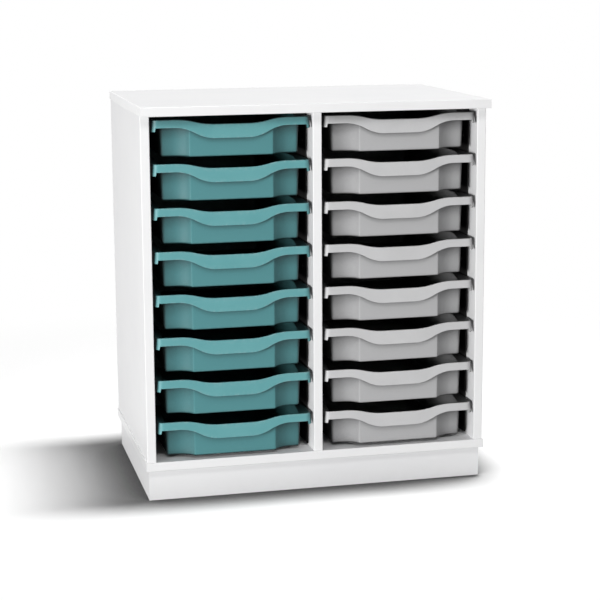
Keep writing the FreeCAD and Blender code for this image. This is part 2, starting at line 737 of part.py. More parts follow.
def checkAndWrite():
    for thing in doc.Objects:
        if "Invalid" in thing.State or "Error" in thing.State:
            raise RuntimeError(f"{thing.Label} failed: {thing.State}")
    shapes = {}
    for thing in parts:
        shape = Part.getShape(thing)
        if shape.isNull() or not shape.isValid() or shape.Volume <= 0:
            raise RuntimeError(f"{thing.Label} has no valid solid")
        shapes[thing.Label] = shape
    os.makedirs("parts", exist_ok=True)
    for label, shape in shapes.items():
        shape.exportStep(f"parts/{label}.step")
        print(f"{label}: {len(shape.Solids)} solid(s), {shape.Volume / 1000:.2f} cm3")


makeCabinet()
makeRunners()
makeTrays()
doc.recompute()
checkAndWrite()
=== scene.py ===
import json
import math

import bpy
import numpy as np
from mathutils import Matrix, Vector


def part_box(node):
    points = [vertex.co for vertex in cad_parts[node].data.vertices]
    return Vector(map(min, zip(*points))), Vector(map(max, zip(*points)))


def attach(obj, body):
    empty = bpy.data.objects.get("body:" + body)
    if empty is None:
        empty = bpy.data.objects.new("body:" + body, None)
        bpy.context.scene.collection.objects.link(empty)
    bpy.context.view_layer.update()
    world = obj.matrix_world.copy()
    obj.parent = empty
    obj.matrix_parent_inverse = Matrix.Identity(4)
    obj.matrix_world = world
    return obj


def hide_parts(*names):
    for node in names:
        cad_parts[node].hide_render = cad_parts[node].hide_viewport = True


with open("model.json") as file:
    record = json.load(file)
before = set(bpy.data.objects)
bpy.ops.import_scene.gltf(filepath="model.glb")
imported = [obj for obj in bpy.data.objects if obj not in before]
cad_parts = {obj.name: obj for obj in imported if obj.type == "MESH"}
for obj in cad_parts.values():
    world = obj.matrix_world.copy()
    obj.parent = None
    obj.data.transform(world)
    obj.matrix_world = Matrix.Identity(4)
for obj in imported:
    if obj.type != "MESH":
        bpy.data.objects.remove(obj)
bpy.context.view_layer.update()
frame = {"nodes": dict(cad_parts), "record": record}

# A classroom storage unit: a white cabinet with two bays of wavy-fronted plastic trays.
# Metres; x to the right, y to the back, z up, the floor at z = 0.

print("frame loaded:", len(frame["nodes"]), "solids")


# Shader maths written as plain arithmetic.

class Field:
    # A number that changes over a surface. Arithmetic on it adds Math nodes.
    def __init__(self, finish, socket):
        self.finish = finish
        self.socket = socket

    def math(self, operation, *values):
        return self.finish.node("ShaderNodeMath", {"operation": operation}, dict(enumerate(values)))

    def __add__(self, other):
        return self.math("ADD", self, other)

    def __radd__(self, other):
        return self.math("ADD", other, self)

    def __sub__(self, other):
        return self.math("SUBTRACT", self, other)

    def __rsub__(self, other):
        return self.math("SUBTRACT", other, self)

    def __mul__(self, other):
        return self.math("MULTIPLY", self, other)

    def __rmul__(self, other):
        return self.math("MULTIPLY", other, self)

    def step(self, low, high):
        # 0 below low, 1 above high and smooth between them; it falls from 1 to 0 where low > high.
        ends = {1: min(low, high), 2: max(low, high), 3: float(low > high), 4: float(low < high)}
        ramp = {"interpolation_type": "SMOOTHSTEP"}
        return self.finish.node("ShaderNodeMapRange", ramp, {0: self, **ends})


class Finish:
    # One material and the nodes it is made of.
    def __init__(self, name):
        self.material = bpy.data.materials.new(name)
        self.material.use_nodes = True
        self.nodes = self.material.node_tree.nodes
        self.links = self.material.node_tree.links
        self.shader = self.nodes["Principled BSDF"]
        self.place = self.node("ShaderNodeTexCoord", output="Object")
        self.x, self.y, self.z = (
            self.node("ShaderNodeSeparateXYZ", sockets={0: self.place}, output=axis) for axis in "XYZ"
        )

    def node(self, kind, settings=None, sockets=None, output=0):
        made = self.nodes.new(kind)
        for key, value in (settings or {}).items():
            setattr(made, key, value)
        for key, value in (sockets or {}).items():
            self.feed(made.inputs[key], value)
        return Field(self, made.outputs[output])

    def feed(self, target, value):
        if isinstance(value, Field):
            self.links.new(value.socket, target)
        elif isinstance(value, tuple) and len(value) == 3 and target.type == "RGBA":
            target.default_value = (*value, 1)
        else:
            target.default_value = value

    def noise(self, scale, detail=2, rough=0.5, stretch=(1, 1, 1)):
        # Noise of about 1 / scale metres a grain, centred on 0.5.
        where = self.place
        if stretch != (1, 1, 1):
            where = self.node("ShaderNodeMapping", sockets={"Vector": self.place, "Scale": stretch})
        values = {"Vector": where, "Scale": scale, "Detail": detail, "Roughness": rough}
        return self.node("ShaderNodeTexNoise", sockets=values)

    def blend(self, factor, first, second):
        # first where the factor is 0, second where it is 1
        kind = {"data_type": "RGBA"}
        return self.node("ShaderNodeMix", kind, {0: factor, 6: first, 7: second}, output=2)

    def openness(self, reach, samples=8):
        # 1 in the open, and less where other surfaces within reach metres close the place in
        return self.node("ShaderNodeAmbientOcclusion", {"samples": samples}, {"Distance": reach}, "AO")

    def bump(self, height, depth, strength, normal=None):
        # height from 0 to 1 stands for depth metres
        sockets = {"Height": height, "Distance": depth, "Strength": strength}
        if normal is not None:
            sockets["Normal"] = normal
        return self.node("ShaderNodeBump", sockets=sockets)

    def surface(self, **values):
        # Puts values or fields on the shader's sockets: baseColor is Base Color, and so on.
        names = {
            "baseColor": "Base Color", "roughness": "Roughness", "metallic": "Metallic",
            "normal": "Normal", "specular": "Specular IOR Level",
        }
        for key, value in values.items():
            self.feed(self.shader.inputs[names[key]], value)
        return self.material


# Finishes of the boards.

boardLook = {
    "white": (0.80, 0.80, 0.805),
    "shade": (0.765, 0.765, 0.775),
    "backWhite": (0.77, 0.77, 0.77),
    "backShade": (0.73, 0.73, 0.735),
    "clouds": 3.5,        # grains per metre, here and for the other textures
    "specks": 2600,
    "pearl": 850,         # texture pressed into the facing
    "pearlDepth": 0.00005,
    "smears": 9,
    "roughness": 0.46,
    "specular": 0.25,
    "dust": (0.58, 0.56, 0.53),
    "dustGrain": 60,
    "dustTop": 0.035,     # dust ends at this height over the floor
    "dustShare": 0.09,
}


def facedBoard(name, white, shade):
    # White melamine: colour = white + slow clouds and faint specks, and dust towards the floor.
    finish = Finish(name)
    clouds = finish.noise(boardLook["clouds"], 3).step(0.35, 0.7)
    specks = finish.noise(boardLook["specks"], 1).step(0.70, 0.76)
    dust = finish.noise(boardLook["dustGrain"], 4, 0.65).step(0.4, 0.75)
    dust = finish.z.step(boardLook["dustTop"], 0.0) * dust
    tone = finish.blend(clouds * 0.6 + specks * 0.25, white, shade)
    tone = finish.blend(dust * boardLook["dustShare"], tone, boardLook["dust"])
    pearl = finish.noise(boardLook["pearl"], 3, 0.55)
    smears = finish.noise(boardLook["smears"], 4, 0.6, (1, 1, 2.5)).step(0.45, 0.75)
    return finish.surface(
        baseColor=tone,
        roughness=boardLook["roughness"] + smears * 0.09 + dust * 0.2,
        normal=finish.bump(pearl, boardLook["pearlDepth"], 0.55),
        specular=boardLook["specular"],
    )


edgingLook = {
    "white": (0.82, 0.82, 0.822),
    "shade": (0.785, 0.785, 0.79),
    "clouds": 12,
    "chatter": 240,       # marks of the trimming cutter
    "chatterDepth": 0.00003,
    "roughness": 0.32,
}


def edgeStrip(name):
    # Smooth plastic edging, a touch glossier than the boards, with faint marks of the trimming cutter.
    finish = Finish(name)
    chatter = finish.noise(edgingLook["chatter"], 2, 0.5, (1, 1, 0.2))
    clouds = finish.noise(edgingLook["clouds"], 3).step(0.35, 0.75)
    return finish.surface(
        baseColor=finish.blend(clouds * 0.5, edgingLook["white"], edgingLook["shade"]),
        roughness=edgingLook["roughness"] + clouds * 0.07,
        normal=finish.bump(chatter, edgingLook["chatterDepth"], 0.5),
    )


woodLook = {
    "pine": ((0.62, 0.42, 0.22), (0.45, 0.27, 0.12)),     # between the rings and in them
    "beech": ((0.60, 0.42, 0.26), (0.50, 0.33, 0.19)),
    "upright": (1, 1, 0.12),      # stretches the grain along z
    "bend": 14,
    "rings": 60,
    "pores": 420,
    "poreDepth": 0.0002,
    "roughness": 0.62,
}


def bareWood(name, light, dark):
    # Softwood or beech: rings = waves bent by noise, mixed with slow streaks, and fine pores along z.
    finish = Finish(name)
    bend = finish.noise(woodLook["bend"], 3, 0.5, woodLook["upright"])
    waves = {"Scale": woodLook["rings"], "Distortion": 5, "Detail": 2, "Detail Scale": 1.2}
    waves["Vector"] = finish.place
    rings = finish.node("ShaderNodeTexWave", {"bands_direction": "X"}, waves)
    pores = finish.noise(woodLook["pores"], 3, 0.6, woodLook["upright"])
    return finish.surface(
        baseColor=finish.blend(rings * 0.55 + bend * 0.3, light, dark),
        roughness=woodLook["roughness"] + pores * 0.15,
        normal=finish.bump(pores, woodLook["poreDepth"], 0.5),
    )


# Finishes of the plastic and steel pieces.

trayLook = {
    "teal": (0.107, 0.326, 0.342),
    "tealDeep": (0.088, 0.294, 0.311),
    # the tub's outside: darker teal as painted shade under the lip
    "tealTubPaintedShade": (0.068, 0.230, 0.245),
    "grey": (0.545, 0.545, 0.55),
    "greyDeep": (0.50, 0.50, 0.505),
    # the tub's outside: darker grey as painted shade under the lip
    "greyTubPaintedShade": (0.425, 0.425, 0.43),
    "flow": 16,
    "rub": 170,
    "scuffs": 90,
    "waves": 26,
    "waveDepth": 0.0006,
    "grain": 1700,
    "grainDepth": 0.00004,
    "rubWhite": 0.8,      # rubbed edges lean towards this white
    "rubShare": 0.28,
    "roughness": 0.46,
    "specular": 0.42,
    "gapReach": 0.09,     # how near another surface has to be to count as a gap's wall
    "gapShade": 0.03,     # share of the colour left as painted shade deep in a gap
}


def mouldedTray(name, tone, deep, tub):
    # Satin polypropylene: fine spark-eroded grain, slow flow clouds, paler rubbed edges, and painted shade
    # where other surfaces close a place in. The wear attribute is 1 on the rim and the lip's edges, and the
    # tub attribute is 1 on the tub's outside, which is duller and coloured darker as painted shade under the
    # lip.
    finish = Finish(name)
    wear = finish.node("ShaderNodeAttribute", {"attribute_name": "wear"}, output="Fac")
    body = finish.node("ShaderNodeAttribute", {"attribute_name": "tub"}, output="Fac")
    flow = finish.noise(trayLook["flow"], 3, 0.55, (1, 0.5, 1)).step(0.3, 0.75)
    rub = wear * finish.noise(trayLook["rub"], 4, 0.7).step(0.42, 0.68)
    scuffs = finish.noise(trayLook["scuffs"], 5, 0.75, (0.3, 1, 1)).step(0.60, 0.68)
    # painted shade: the tub's outside under the lip takes the darker tub colour
    colour = finish.blend(body, finish.blend(flow * 0.7, tone, deep), tub)
    share = trayLook["rubShare"]
    pale = tuple((1 - share) * value + share * trayLook["rubWhite"] for value in tone)
    colour = finish.blend(rub * 0.5 + scuffs * 0.06, colour, pale)
    # painted shade: the colour darkens where other surfaces are near, in the gaps and under the lip
    clear = finish.openness(trayLook["gapReach"]).step(0.30, 0.96)
    colour = finish.blend(clear, tuple(trayLook["gapShade"] * value for value in tone), colour)
    grain = finish.noise(trayLook["grain"], 2, 0.6)
    waves = finish.noise(trayLook["waves"], 2, 0.4)
    soft = finish.bump(waves, trayLook["waveDepth"], 0.25)
    return finish.surface(
        baseColor=colour,
        roughness=trayLook["roughness"] + flow * 0.05 - rub * 0.1 + scuffs * 0.06 + body * 0.08,
        normal=finish.bump(grain, trayLook["grainDepth"], 0.6, soft),
        specular=trayLook["specular"],
    )


runnerLook = {
    "black": (0.008, 0.0075, 0.0075),
    "dust": (0.20, 0.19, 0.18),
    "dustGrain": 220,
    "grain": 900,
    "grainDepth": 0.00008,
    "roughness": 0.55,
    "specular": 0.35,
}


def blackRunner(name):
    # Matt black plastic with a coarse moulded grain and a little pale dust on the ledges' upper faces.
    finish = Finish(name)
    upward = finish.node("ShaderNodeNewGeometry", output="Normal")
    upward = finish.node("ShaderNodeSeparateXYZ", sockets={0: upward}, output="Z")
    dust = upward.step(0.5, 0.95) * finish.noise(runnerLook["dustGrain"], 4, 0.7).step(0.4, 0.8)
    grain = finish.noise(runnerLook["grain"], 3, 0.6)
    return finish.surface(
        baseColor=finish.blend(dust * 0.12, runnerLook["black"], runnerLook["dust"]),
        roughness=runnerLook["roughness"] + grain * 0.12 + dust * 0.15,
        normal=finish.bump(grain, runnerLook["grainDepth"], 0.5),
        specular=runnerLook["specular"],
    )


screwLook = {
    "zinc": (0.62, 0.62, 0.60),
    "zincDark": (0.47, 0.47, 0.46),
    "black": (0.018, 0.018, 0.019),
    "bare": (0.10, 0.10, 0.10),   # where the black has rubbed off
    "zincClouds": 600,
    "zincScratches": 2500,
    "blackRub": 700,
    "blackGrain": 3000,
    "depth": 0.00002,             # of the scratches and the grain
}


def platedSteel(name):
    # Zinc-plated steel: cloudy grey with fine turned scratches.
    finish = Finish(name)
    clouds = finish.noise(screwLook["zincClouds"], 3).step(0.35, 0.7)
    scratches = finish.noise(screwLook["zincScratches"], 2, 0.6, (1, 1, 0.15))
    return finish.surface(
        baseColor=finish.blend(clouds, screwLook["zinc"], screwLook["zincDark"]),
        metallic=1.0,
        roughness=0.30 + scratches * 0.18,
        normal=finish.bump(scratches, screwLook["depth"], 0.4),
    )


def blackSteel(name):
    # Phosphated screws: near black, with a little shine in rubbed patches.
    finish = Finish(name)
    rubbed = finish.noise(screwLook["blackRub"], 3, 0.6).step(0.58, 0.75)
    grain = finish.noise(screwLook["blackGrain"], 2)
    return finish.surface(
        baseColor=finish.blend(rubbed * 0.5, screwLook["black"], screwLook["bare"]),
        metallic=rubbed * 0.6,
        roughness=0.42 + grain * 0.15,
        normal=finish.bump(grain, screwLook["depth"], 0.4),
    )


finishes = {
    "white_board": facedBoard("white faced board", boardLook["white"], boardLook["shade"]),
    "back_board": facedBoard("white faced back", boardLook["backWhite"], boardLook["backShade"]),
    "white_edging": edgeStrip("white edging"),
    "block_wood": bareWood("pine block", *woodLook["pine"]),
    "dowel_wood": bareWood("beech dowel", *woodLook["beech"]),
    "runner_black": blackRunner("black runner"),
    "screw_steel": platedSteel("zinc plated steel"),
    "screw_black": blackSteel("black screw"),
    "tray_teal": mouldedTray("teal tray", trayLook["teal"], trayLook["tealDeep"], trayLook["tealTubPaintedShade"]),
    "tray_grey": mouldedTray("grey tray", trayLook["grey"], trayLook["greyDeep"], trayLook["greyTubPaintedShade"]),
}

# Every solid gets its finish, and the pieces made below stand in for some of them.

slotOf = {row["node"]: row["material_slot"] for row in frame["record"]["subparts"]}
for name, solid in frame["nodes"].items():
    if not solid.material_slots:
        solid.data.materials.append(None)
    for slot in solid.material_slots:
        slot.material = finishes[slotOf[name]]
print("finishes made:", len(finishes))


def makePiece(name, points, faces, slot, body, replaced, shades=None):
    # shades are values from 0 to 1 at the points, for the finish to read
    mesh = bpy.data.meshes.new(name)
    mesh.from_pydata(points, [], faces)
    mesh.polygons.foreach_set("use_smooth", np.ones(len(mesh.polygons), bool))
    for key, values in (shades or {}).items():
        mesh.attributes.new(key, "FLOAT", "POINT").data.foreach_set("value", values)
    mesh.materials.append(finishes[slot])
    mesh.update()
    piece = bpy.data.objects.new(name, mesh)
    bpy.context.scene.collection.objects.link(piece)
    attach(piece, body)
    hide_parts(replaced)


def gridFaces(rows, columns):
    # Quads between neighbouring rings. They face outwards where each ring runs anticlockwise as seen from
    # the side the rings come from.
    row, column = np.meshgrid(np.arange(rows - 1), np.arange(columns), indexing="ij")
    after = (column + 1) % columns
    start, end = row * columns, (row + 1) * columns
    corners = (end + column, end + after, start + after, start + column)
    return np.stack(corners, axis=-1).reshape(-1, 4)


def solidFaces(rows, columns, start=0):
    # The quads of a grid whose first point is number start, and a face over its first and last ring.
    faces = (gridFaces(rows, columns) + start).tolist()
    last = start + (rows - 1) * columns
    faces.append(list(range(start, start + columns)))
    faces.append(list(range(last, last + columns))[::-1])
    return faces


# Trays. In millimetres from the middle of the lip's foot at rim height: x across, y back, z up.

tray = {
    "rimHalf": 154.74, "rimFront": 3.94, "rimBack": 425.74, "rimCorner": 12.0,
    "wall": 2.0, "height": 73.0,
    "slope": 6.0, "draft": 4.0,                           # degrees, of the lip and skirts and of the tub
    "skirt": 12.0, "backSkirt": 6.0,                      # depths below the rim
    "lipEnd": 16.0, "lipMiddle": 37.5, "lipZone": 60.0,   # depths, and how far back the lip's part reaches
    "tabFrom": 148.0, "tabDrop": 7.0, "tabLength": 16.0,
    "tabLead": 0.7, "tabLag": 0.2,                        # its steps start so far before and after its ends
    "step": 1.2, "backStep": 1.3,                         # lengths of the steps in the lower edge
    "dip": 10.0, "flat": 33.0, "run": 78.0,               # the valley in the middle of the lip
    "fall": 0.3, "fallEnd": 28.0, "fallRun": 40.0,        # the flange's slope behind the lip
    "tubHalf": 139.5, "tubFront": 10.0, "tubBack": 410.0,
    "recess": 17.0, "crease": 82.0, "scoopRadius": 44.5,  # the scooped corners of the tub's front
    "creaseRound": 3.5, "frontRound": 8.0, "backRound": 20.0,
    "rimRound": 1.5, "innerRound": 1.0, "floorRound": 3.0, "footRound": 3.5,
}

# How finely the tray is cut: numbers of points, the shares of a run or an arc at which points stand,
# and the widths of the flat bands beside the roundings.
trayMesh = {
    "middle": 26, "bend": 4, "scoop": 12, "flank": 5, "round": 4, "edge": 7,
    "cornerRun": (0, 0.5),
    "cornerTurn": (0, 0.1, 0.18, 0.225, 0.25, 0.275, 0.30, 0.325, 0.35, 0.42, 0.52, 0.64, 0.76, 0.88),
    "side": (
        0, 0.0006, 0.0016, 0.0026, 0.0036, 0.006, 0.015, 0.05,
        0.12, 0.25, 0.45, 0.65, 0.85, 0.97, 0.998,
    ),
    "backTurn": (0, 0.04, 0.08, 0.13, 0.25, 0.4, 0.6, 0.8),
    "back": (0, 0.1, 0.3, 0.6, 1),
    "lip": (0.35, 0.7),
    "runShare": 0.35,     # of the tub's front rounding, beside the rim's straight run
    "leastRound": 0.3,    # radius left in a rounding that is moved inwards
    "floorBand": 6.0, "wallBand": 2.0, "rimBand": 0.4, "lipBand": 0.5, "tubBand": 1.0, "footBand": 4.0,
}


def smooth(value):
    # 3 v^2 - 2 v^3: 0 up to 0, 1 from 1 on and a soft step between them
    value = np.clip(value, 0, 1)
    return value * value * (3 - 2 * value)


def valley(x):
    # 1 across the flat middle and 0 past the run, with each side two equal arcs that meet halfway:
    # a parabola stands for each arc, 2 t^2 up to t = 1/2 and 1 - 2 (1 - t)^2 after it.
    t = np.clip((tray["flat"] + tray["run"] - abs(x)) / tray["run"], 0, 1)
    return np.where(t < 0.5, 2 * t * t, 1 - 2 * (1 - t) ** 2)


def trayPlan():
    # Matching outlines of the rim and the tub round the right half, from the middle of the front to the
    # middle of the back, and their mirror image. Each is a run of lines and arcs: a line is
    # start (1 - t) + end t, an arc is centre + radius (cos, sin) of an angle that runs with t. A point has
    # its place and outward normal, the share of the draft it takes and how far it may be moved inwards.
    rim, tub, drafts, limits = [], [], [], []

    def line(start, end, t, normal):
        t = np.asarray(t)[:, None]
        points = np.array(start) * (1 - t) + np.array(end) * t
        return np.hstack([points, np.tile(normal, (len(t), 1))])

    def arc(centre, radius, fromAngle, toAngle, t, outward=1):
        angle = np.radians(fromAngle + (toAngle - fromAngle) * np.asarray(t))
        normal = np.stack([np.cos(angle), np.sin(angle)], axis=1)
        return np.hstack([np.array(centre) + radius * normal, outward * normal])

    def add(rimPart, tubPart, draft, limit=math.inf):
        rim.append(rimPart)
        tub.append(tubPart)
        drafts.append(np.broadcast_to(draft, len(rimPart)))
        limits.append(np.full(len(rimPart), limit))

    half, front, back, corner = tray["rimHalf"], tray["rimFront"], tray["rimBack"], tray["rimCorner"]
    side, nose, tail = tray["tubHalf"], tray["tubFront"], tray["tubBack"]
    shoulder = nose + tray["recess"]
    radius, small = tray["scoopRadius"], tray["creaseRound"]
    frontRound, backRound = tray["frontRound"], tray["backRound"]
    scoopX = tray["crease"] + math.sqrt(2 * radius * tray["recess"] - tray["recess"] ** 2)
    scoopY = shoulder - radius
    # the rounded crease touches the middle front and the scoop's circle
    creaseX = scoopX - math.sqrt((radius + small) ** 2 - (nose + small - scoopY) ** 2)
    turn = math.degrees(math.atan2(nose + small - scoopY, creaseX - scoopX))

    def ahead(part):
        # the rim's front edge at the same x
        same, none = np.ones(len(part)), np.zeros(len(part))
        return np.column_stack([part[:, 0], front * same, none, -same])

    def even(part):
        return np.arange(trayMesh[part]) / trayMesh[part]

    middle = line((0, nose), (creaseX, nose), even("middle"), (0, -1))
    add(ahead(middle), middle, 0)
    bend = arc((creaseX, nose + small), small, -90, turn - 180, even("bend"))
    add(ahead(bend), bend, 0, small - trayMesh["leastRound"])
    scoop = arc((scoopX, scoopY), radius, turn, 90, even("scoop"), -1)
    add(ahead(scoop), scoop, 0)
    cornerX = side - frontRound
    flank = line((scoopX, shoulder), (cornerX, shoulder), even("flank"), (0, -1))
    add(ahead(flank), flank, 0)

    # the rim's rounded corner takes the tab's step, so it has more points than the tub needs there
    run, steps = np.array(trayMesh["cornerRun"]), np.array(trayMesh["cornerTurn"])
    share = trayMesh["runShare"]
    turnAt = np.concatenate([run * share, share + (1 - share) * steps])
    rimRun = line((cornerX, front), (half - corner, front), run, (0, -1))
    rimTurn = arc((half - corner, front + corner), corner, -90, 0, steps)
    tubTurn = arc((cornerX, shoulder + frontRound), frontRound, -90, 0, turnAt)
    add(np.vstack([rimRun, rimTurn]), tubTurn, turnAt, frontRound - trayMesh["leastRound"])

    rimSide = line((half, front + corner), (half, back - corner), trayMesh["side"], (1, 0))
    tubSide = line((side, shoulder + frontRound), (side, tail - backRound), trayMesh["side"], (1, 0))
    add(rimSide, tubSide, 1)
    rimTurn = arc((half - corner, back - corner), corner, 0, 90, trayMesh["backTurn"])
    tubTurn = arc((side - backRound, tail - backRound), backRound, 0, 90, trayMesh["backTurn"])
    add(rimTurn, tubTurn, 1)
    rimTail = line((half - corner, back), (0, back), trayMesh["back"], (0, 1))
    tubTail = line((side - backRound, tail), (0, tail), trayMesh["back"], (0, 1))
    add(rimTail, tubTail, 1)

    def wholeLoop(part):
        # mirrors the right half, leaving out the two middle points it already has
        part = np.asarray(part, float)
        mirrored = part[-2:0:-1].copy()
        if part.ndim == 2:
            mirrored[:, [0, 2]] *= -1
        return np.concatenate([part, mirrored])

    return [wholeLoop(np.concatenate(part)) for part in (rim, tub, drafts, limits)]


def traySurface():
    # Rings round the tray, from the inside floor up the cavity, over the rim, down the lip and skirts,
    # back up under the rim and down the outside of the tub. A ring is outline + offset * normal at a
    # height, and both change round it. Each has a wear from 0 to 1, and is on the tub's outside or not.
    rim, tub, draft, limit = trayPlan()
    front = rim[:, 1] < tray["lipZone"]
    slope = math.tan(math.radians(tray["slope"]))
    taper = math.tan(math.radians(tray["draft"])) * draft
    wall = tray["wall"]
    rings, wears, tubs = [], [], []

    def dipAt(x):
        return -tray["dip"] * valley(x) * front

    # behind the lip the flange falls back to the tub, and along the sides it is level
    level = smooth((tub[:, 1] - tray["fallEnd"]) / tray["fallRun"])
    fall = tray["fall"] * (tub[:, 1] - tray["rimFront"]) * (1 - level) * front

    def rimRing(offset, height, wear=0.0):
        # offset outwards from the sloping outer face at that height
        top = dipAt(rim[:, 0])
        z = height(top) if callable(height) else height
        out = offset - z * slope
        rings.append(np.column_stack([rim[:, 0] + rim[:, 2] * out, rim[:, 1] + rim[:, 3] * out, z + 0 * top]))
        wears.append(np.full(len(rim), wear))
        tubs.append(np.zeros(len(rim)))

    def tubRing(inset, height, wear=0.0, outside=0.0):
        # inset inwards from the tub's tapered outer face at that height
        top = dipAt(tub[:, 0]) - fall
        z = (height(top) if callable(height) else height) + 0 * top
        move = np.minimum(inset - z * taper, limit)
        rings.append(np.column_stack([tub[:, 0] - tub[:, 2] * move, tub[:, 1] - tub[:, 3] * move, z]))
        wears.append(np.full(len(tub), wear))
        tubs.append(np.full(len(tub), outside))

    # lower edge of the lip, tabs and skirts
    x, y = abs(rim[:, 0]), rim[:, 1]
    lip = -tray["lipEnd"] - (tray["lipMiddle"] - tray["lipEnd"]) * valley(rim[:, 0])
    tab = smooth((x - tray["tabFrom"] + tray["tabLead"]) / tray["step"])
    lip = lip - tray["tabDrop"] * tab
    behind = smooth((y - tray["tabLength"] - tray["tabLag"]) / tray["backStep"])
    across = smooth((y - (tray["rimBack"] - tray["rimCorner"])) / tray["step"])
    skirt = -tray["skirt"] + (tray["skirt"] - tray["backSkirt"]) * across
    low = lip * (1 - behind) + skirt * behind

    # the inside, from the floor to the cavity's upper edge
    quarter = np.radians(np.linspace(0, 90, trayMesh["round"]))
    floorTop = -tray["height"] + wall
    r = tray["floorRound"]
    tubRing(wall + r + trayMesh["floorBand"], floorTop)
    for angle in quarter[::-1]:
        tubRing(wall + r * (1 - math.cos(angle)), floorTop + r * (1 - math.sin(angle)))
    tubRing(wall, floorTop + r + trayMesh["wallBand"])
    r = tray["innerRound"]
    tubRing(wall, lambda top: top - r - trayMesh["wallBand"])
    for angle in quarter:
        tubRing(wall - r * (1 - math.cos(angle)), lambda top: top - r * (1 - math.sin(angle)), 0.6)
    tubRing(wall - r - trayMesh["rimBand"], lambda top: top, 0.2)

    # over the rim, down the lip's outside, round its lower edge and up its inside
    r, band, edge = tray["rimRound"], trayMesh["lipBand"], wall / 2
    rimRing(-r - band, lambda top: top, 0.3)
    for angle in quarter[::-1]:
        rimRing(-r * (1 - math.cos(angle)), lambda top: top - r * (1 - math.sin(angle)), 1.0)
    rimRing(0, lambda top: top - r - band, 0.4)
    for share in trayMesh["lip"]:
        rimRing(0, lambda top: (top - r) * (1 - share) + (low + edge) * share)
    rimRing(0, low + edge + band, 0.3)
    for angle in np.radians(np.linspace(0, 180, trayMesh["edge"])):
        rimRing(edge * (math.cos(angle) - 1), low + edge * (1 - math.sin(angle)), 1.0)
    rimRing(-wall, low + edge + band)
    r = tray["innerRound"]
    rimRing(-wall, lambda top: np.maximum(top - wall - r - band, low + edge + band))
    for angle in quarter:
        rimRing(-wall - r * (1 - math.cos(angle)), lambda top: top - wall - r * (1 - math.sin(angle)))

    # the tub's outside, from under the flange to the bottom
    for angle in quarter[::-1]:
        tubRing(-r * (1 - math.sin(angle)), lambda top: top - wall - r * (1 - math.cos(angle)))
    tubRing(0, lambda top: top - wall - r - trayMesh["tubBand"], 0, 1)
    r = tray["footRound"]
    tubRing(0, -tray["height"] + r + trayMesh["tubBand"], 0, 1)
    for angle in quarter:
        tubRing(r * (1 - math.cos(angle)), -tray["height"] + r * (1 - math.sin(angle)), 0.3, 1)
    tubRing(r + trayMesh["footBand"], -tray["height"], 0, 1)
    return np.array(rings), {"wear": np.concatenate(wears), "tub": np.concatenate(tubs)}


rings, trayShades = traySurface()
rows, columns = rings.shape[:2]
trayFaces = solidFaces(rows, columns)
trayPoints = rings.reshape(-1, 3) / 1000
for name in sorted(slotOf):
    if "_tray_" not in name:
        continue
    low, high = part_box(name)
    seat = np.array([(low.x + high.x) / 2, low.y, high.z])
    makePiece(name + "_moulding", trayPoints + seat, trayFaces, slotOf[name], name, name, trayShades)
print("trays made:", rows, "rings of", columns)


# Screws. In millimetres from the middle of a head's face: each rim is a turned profile of (radius, depth).

screw = {
    "around": 48, "rows": 3,
    "slot": 0.42, "arm": 1.75, "soft": 0.3, "recess": 1.1,    # the cross: half width, reach, edge, depth
    "faceFrom": 0.12, "faceEdge": 0.35, "faceRings": 13,      # the face's rings end short of its edge
    "sunk": (
        (3.3, 0.0), (3.42, 0.02), (3.5, 0.1), (3.44, 0.16), (1.79, 1.81), (1.75, 1.85), (1.75, 25.0),
    ),
    "domed": (
        (2.7, 0.02), (3.0, 0.08), (3.17, 0.2), (3.25, 0.4),
        (3.98, 2.14), (3.94, 2.2), (1.75, 2.2), (1.75, 11.2),
    ),
}


def screwSurface(rim):
    # Rings from the middle of the face outwards and down the shank. The face is pressed in by a cross:
    # depth = recess where the nearer arm is thinner than the slot and the other is shorter than the arm.
    face = np.linspace(screw["faceFrom"], rim[0][0] - screw["faceEdge"], screw["faceRings"])
    radius = np.concatenate([face, [r for r, _ in rim]])[:, None]
    depth = np.concatenate([0 * face, [d for _, d in rim]])[:, None]
    angle = np.arange(screw["around"]) * 2 * math.pi / screw["around"]
    across, up = radius * np.cos(angle), radius * np.sin(angle)
    thin = 1 - smooth((np.minimum(abs(across), abs(up)) - screw["slot"]) / screw["soft"])
    short = 1 - smooth((np.maximum(abs(across), abs(up)) - screw["arm"]) / screw["soft"])
    onFace = np.arange(len(radius))[:, None] < len(face)
    return np.stack([across, up, depth + screw["recess"] * thin * short * onFace], axis=-1)


def makeScrews(name, rim, facing, columns):
    # A grid of screws that fills the node's box, in rows up and columns across.
    low, high = (np.array(corner) * 1000 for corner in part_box(name))
    surface = screwSurface(rim)
    head = max(radius for radius, _ in rim)
    side = abs(facing[0])              # 1 where the heads face along x and 0 where they face along y
    axis, level = (0, 1) if side else (1, 0)
    face = high[axis] if facing[axis] > 0 else low[axis]
    flip = facing[axis] if side else -facing[axis]
    rings, around = surface.shape[:2]
    points, faces = [], []
    for across in np.linspace(low[level] + head, high[level] - head, columns):
        for up in np.linspace(low[2] + head, high[2] - head, screw["rows"]):
            one = np.empty(surface.shape)
            one[..., axis] = face - facing[axis] * surface[..., 2]
            one[..., level] = across + flip * surface[..., 0]
            one[..., 2] = up + surface[..., 1]
            faces += solidFaces(rings, around, len(points) * rings * around)
            points.append(one.reshape(-1, 3))
    makePiece(name + "_turned", np.concatenate(points) / 1000, faces, slotOf[name], "cabinet", name)


makeScrews("back_panel_screws", screw["sunk"], (0, 1), 3)
for bay in ("left_bay", "right_bay"):
    makeScrews(bay + "_left_runner_screws", screw["domed"], (1, 0), 2)
    makeScrews(bay + "_right_runner_screws", screw["domed"], (-1, 0), 2)
print("screws made")


# Floor, lamps and camera.

